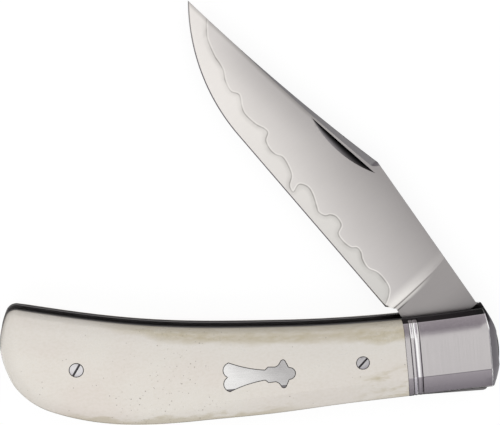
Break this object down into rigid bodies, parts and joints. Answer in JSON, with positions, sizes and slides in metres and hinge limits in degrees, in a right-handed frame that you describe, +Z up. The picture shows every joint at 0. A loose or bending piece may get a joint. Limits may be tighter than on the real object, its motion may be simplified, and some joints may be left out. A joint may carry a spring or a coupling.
{
  "type": "folding pocket knife",
  "caption": "Slim folding pocket knife with a part-open clip-point blade, smooth white bone scales, ringed front bolsters and an inlaid shield.",
  "frame": {"origin": "on the plane that the knife lies on, below the middle of the blade's pivot", "axes": "+X along the handle's straight back towards the bolsters, +Y from the back towards the blade's slot, +Z up out of the near scale"},
  "size_m": [0.1007, 0.0864, 0.012],
  "materials": {
    "blade_steel": "satin ground steel, brighter along the edge",
    "spring_steel": "satin steel",
    "bone": "smooth polished white bone",
    "bolster_steel": "satin steel, brushed across the handle",
    "liner_steel": "polished steel",
    "washer_brass": "satin brass",
    "screw_steel": "satin steel",
    "pin_steel": "plain ground steel",
    "shield_metal": "satin nickel silver"
  },
  "bodies": {
    "handle": {"back_spring": "spring_steel", "far_bolster": "bolster_steel", "far_front_screw": "screw_steel", "far_liner": "liner_steel", "far_lower_bolster_pin": "pin_steel", "far_rear_screw": "screw_steel", "far_scale": "bone", "far_upper_bolster_pin": "pin_steel", "far_washer": "washer_brass", "near_bolster": "bolster_steel", "near_front_screw": "screw_steel", "near_liner": "liner_steel", "near_lower_bolster_pin": "pin_steel", "near_rear_screw": "screw_steel", "near_scale": "bone", "near_upper_bolster_pin": "pin_steel", "near_washer": "washer_brass", "pivot_pin": "pin_steel", "shield": "shield_metal", "spring_centre_pin": "pin_steel", "spring_rear_pin": "pin_steel"},
    "blade": {"blade": "blade_steel"}
  },
  "joints": [
    {"name": "blade_pivot", "type": "hinge", "parent": "handle", "child": "blade", "pos_m": [0, 0, 0.00602], "axis": [0, 0, 1], "range_deg": [-124, 52.5], "deforming": ["back_spring"]}
  ]
}
